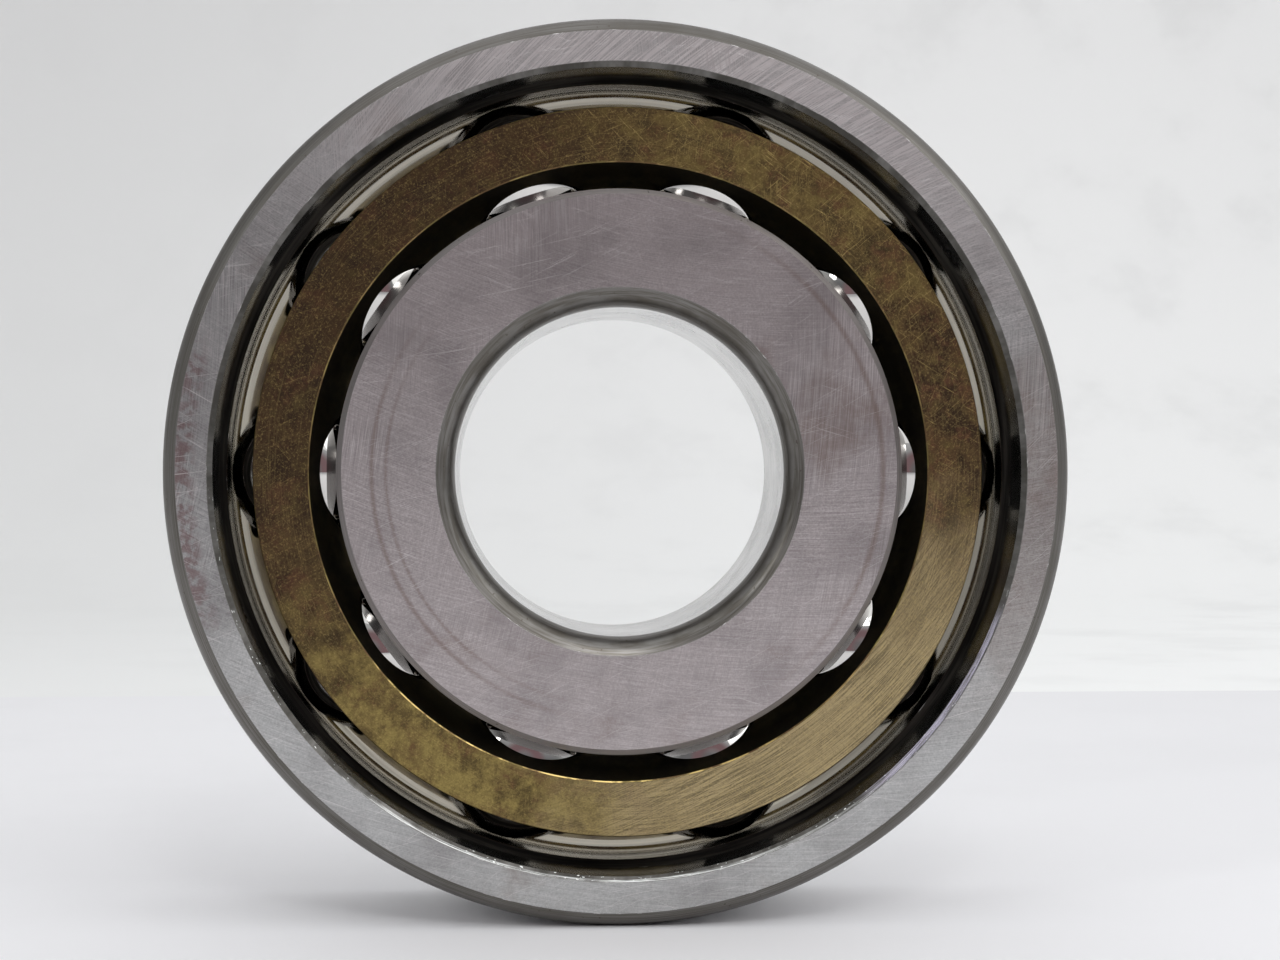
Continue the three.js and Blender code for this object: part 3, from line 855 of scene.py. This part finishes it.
def make_ball(index):
    """A ball is meshed in its place, so its surface pattern differs from its neighbours'."""
    centre, radius = ball_place(index)
    name = f"ball_{index + 1:02d}"
    mesh = bpy.data.meshes.new(name + "_lapped")
    work = bmesh.new()
    bmesh.ops.create_icosphere(work, subdivisions=BALL_SUBDIVISIONS, radius=radius,
                               matrix=Matrix.Translation(centre))
    work.to_mesh(mesh)
    work.free()
    mesh.materials.append(MATERIALS["ball"])
    ball = bpy.data.objects.new(name + "_lapped", mesh)
    smooth(ball, math.pi)
    place(ball, name, name, "ball_steel")


# ---------------------------------------------------------------- floor, light, camera

# Metres from here on.
FLOOR_Z = outer_low.z
FLOOR_REACH = 4
SHEET_END = 0.277  # where the floor sheet ends behind the bearing
SWEEP_START = 0.6  # where the backdrop starts to rise
SWEEP_RADIUS = 0.35
SWEEP_STEPS = 16
BACKDROP_TOP = 2.0
BACKDROP_HALF_WIDTH = 2
BACKDROP_Z = FLOOR_Z - 0.0005  # each sheet lies just under the one in front of it
FLOOR_BEHIND_Z = FLOOR_Z - 0.001


def make_strip(name, outline, half_width, material):
    """A sheet drawn out along X from (y, z) points."""
    vertices = [(x, y, z) for y, z in outline for x in (-half_width, half_width)]
    faces = [(2 * i, 2 * i + 1, 2 * i + 3, 2 * i + 2) for i in range(len(outline) - 1)]
    mesh = bpy.data.meshes.new(name)
    mesh.from_pydata(vertices, [], faces)
    mesh.materials.append(material)
    obj = bpy.data.objects.new(name, mesh)
    bpy.context.scene.collection.objects.link(obj)
    smooth(obj)


def make_stage():
    """A floor sheet, a backdrop behind it that sweeps up, and a second floor sheet that goes on
    under the backdrop."""
    floor = sheet_white("floor_sheet", FLOOR_LEFT, FLOOR_RIGHT, FLOOR_SHADE)
    wall = sheet_white("backdrop_sheet", WALL_LEFT, WALL_RIGHT, WALL_SHADE)
    front = [(-FLOOR_REACH, FLOOR_Z), (SHEET_END, FLOOR_Z)]
    behind = [(SHEET_END, FLOOR_BEHIND_Z), (FLOOR_REACH, FLOOR_BEHIND_Z)]
    sweep = [(SHEET_END, BACKDROP_Z), (SWEEP_START, BACKDROP_Z)]
    for step in range(1, SWEEP_STEPS + 1):
        angle = math.pi / 2 * step / SWEEP_STEPS
        y = SWEEP_START + SWEEP_RADIUS * math.sin(angle)
        sweep.append((y, FLOOR_Z + SWEEP_RADIUS * (1 - math.cos(angle))))
    sweep.append((SWEEP_START + SWEEP_RADIUS, BACKDROP_TOP))
    make_strip("floor", front, FLOOR_REACH, floor)
    make_strip("floor_behind", behind, FLOOR_REACH, floor)
    make_strip("backdrop", sweep, BACKDROP_HALF_WIDTH, wall)


ORIGIN = (0, 0, 0)


def make_light(name, location, target, size, power):
    """A square lamp of a size in metres and a power in watts."""
    data = bpy.data.lights.new(name, "AREA")
    data.shape = "SQUARE"
    data.size = size
    data.energy = power
    light = bpy.data.objects.new(name, data)
    light.location = location
    aim = Vector(target) - Vector(location)
    light.rotation_euler = aim.to_track_quat("-Z", "Y").to_euler()
    bpy.context.scene.collection.objects.link(light)


CEILING_AXIS = (0.18, 0.08, 0.95)
FRONT_AXIS = (0, -1, 0.05)
CEILING_BRIGHT = (0.86, 0.87, 0.89)
CEILING_LOW = (0.22, 0.22, 0.23)
WALLS_BRIGHT = (0.66, 0.67, 0.68)
RING_PINK = (0.29, 0.185, 0.20, 1)
RING_REST = (0.1, 0.1, 0.1)  # how much of the pink is left in its middle
BLACK = (0, 0, 0)
WHITE = (1, 1, 1)
WORLD_STRENGTH = 0.8


def make_world():
    """Soft room light: bright overhead and to the sides, dark straight in front, where it is
    faintly pink a little off the middle."""
    world = bpy.data.worlds.new("room")
    bpy.context.scene.world = world
    world.use_nodes = True
    nodes = world.node_tree.nodes
    links = world.node_tree.links
    direction = nodes.new("ShaderNodeTexCoord").outputs["Generated"]

    def toward(axis):
        """The cosine of the angle from an axis, times the axis' length."""
        dot = nodes.new("ShaderNodeVectorMath")
        dot.operation = "DOT_PRODUCT"
        dot.inputs[1].default_value = axis
        links.new(direction, dot.inputs[0])
        return dot.outputs["Value"]

    def ramp(value, stops):
        """Colours at given values, blended between them."""
        node = nodes.new("ShaderNodeValToRGB")
        links.new(value, node.inputs["Fac"])
        elements = node.color_ramp.elements
        for count, (where, colour) in enumerate(stops):
            element = elements[count] if count < 2 else elements.new(where)
            element.position = where
            element.color = (*colour, 1)
        return node.outputs["Color"]

    def blend(kind, share, first, second):
        """Two colours, blended in a way that Blender's mix node knows."""
        node = nodes.new("ShaderNodeMix")
        node.data_type = "RGBA"
        node.blend_type = kind
        for socket, value in zip((node.inputs[0], node.inputs[6], node.inputs[7]),
                                 (share, first, second)):
            if isinstance(value, bpy.types.NodeSocket):
                links.new(value, socket)
            else:
                socket.default_value = value
        return node.outputs[2]

    ceiling = ramp(toward(CEILING_AXIS), ((0.08, CEILING_LOW), (0.8, CEILING_BRIGHT)))
    front = toward(FRONT_AXIS)
    walls = ramp(front, ((0.42, WALLS_BRIGHT), (0.84, BLACK)))
    room = blend("LIGHTEN", 1.0, ceiling, walls)
    ring = ramp(front, ((0.84, BLACK), (0.91, WHITE), (0.95, WHITE), (0.985, RING_REST)))
    room = blend("MIX", ring, room, RING_PINK)
    background = nodes["Background"]
    links.new(room, background.inputs["Color"])
    background.inputs["Strength"].default_value = WORLD_STRENGTH


SENSOR_WIDTH = 36  # millimetres, as is the lens
LENS = 61.9
CLIP_START = 0.01
CAMERA_PLACE = (-0.0119, -0.2782, -0.001)
CAMERA_YAW = math.radians(3.07)  # turned this far to the right


def make_camera():
    """Level with the bearing, a little to its left, as near as a close-up lens stands."""
    data = bpy.data.cameras.new("camera")
    data.sensor_width = SENSOR_WIDTH
    data.lens = LENS
    data.clip_start = CLIP_START
    camera = bpy.data.objects.new("camera", data)
    camera.location = CAMERA_PLACE
    camera.rotation_euler = (math.pi / 2, 0, -CAMERA_YAW)
    bpy.context.scene.collection.objects.link(camera)
    bpy.context.scene.camera = camera


make_ring("outer_ring", outer_ring_outline())
make_ring("inner_ring", inner_ring_outline())
make_cage()
for ball_index in range(BALL_COUNT):
    make_ball(ball_index)
make_stage()
make_light("overhead_softbox", (0.2, -0.05, 0.9), ORIGIN, size=2.1, power=6.6)
make_light("side_softbox", (0.5, -0.45, 0.4), (0.12, -0.22, -0.05), size=0.6, power=1.2)
make_light("left_lamp", (-0.6, -0.6, 0.42), ORIGIN, size=0.16, power=0.8)
make_light("front_lamp", (0.08, -0.65, 0.55), ORIGIN, size=0.16, power=0.8)
make_world()
make_camera()
bpy.context.scene.view_settings.view_transform = "Standard"
